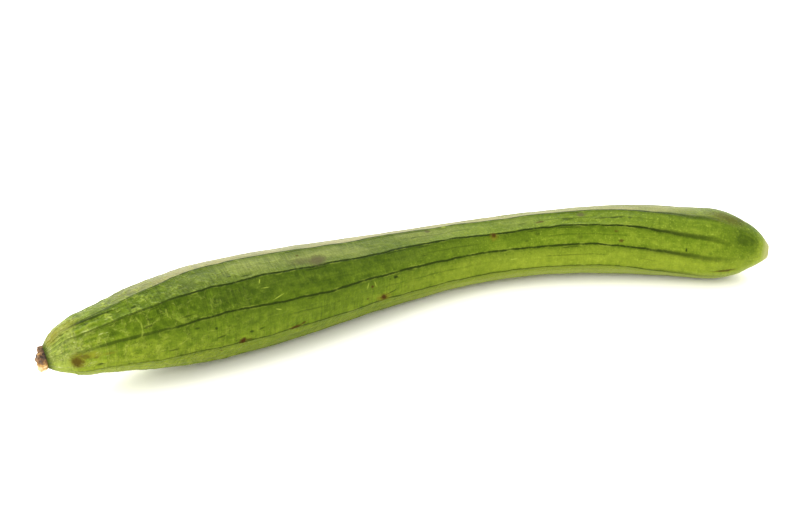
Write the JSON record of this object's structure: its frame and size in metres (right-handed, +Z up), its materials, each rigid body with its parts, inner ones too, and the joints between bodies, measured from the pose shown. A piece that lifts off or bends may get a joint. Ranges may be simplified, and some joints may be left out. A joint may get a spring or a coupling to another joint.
{
  "type": "ridge gourd",
  "caption": "Long green luffa fruit, thick at the blossom end and gently bent, with low dark ridges, a dried brown blossom at one tip and a cut-stalk scar at the other; lies on its side.",
  "frame": {"origin": "on the table, under the middle of the fruit's box", "axes": "+X from the blossom end to the stalk end, +Z up, -Y towards the side that the fruit's ends bend to"},
  "size_m": [0.4144, 0.0884, 0.0525],
  "materials": {
    "green_skin": "fresh green skin with a soft gloss, dark green ridge lines and small brown scars",
    "dry_blossom": "dry, matt, shrivelled brown crust"
  },
  "bodies": {
    "root": {"fruit": "green_skin", "dried_blossom": "dry_blossom"}
  },
  "joints": []
}
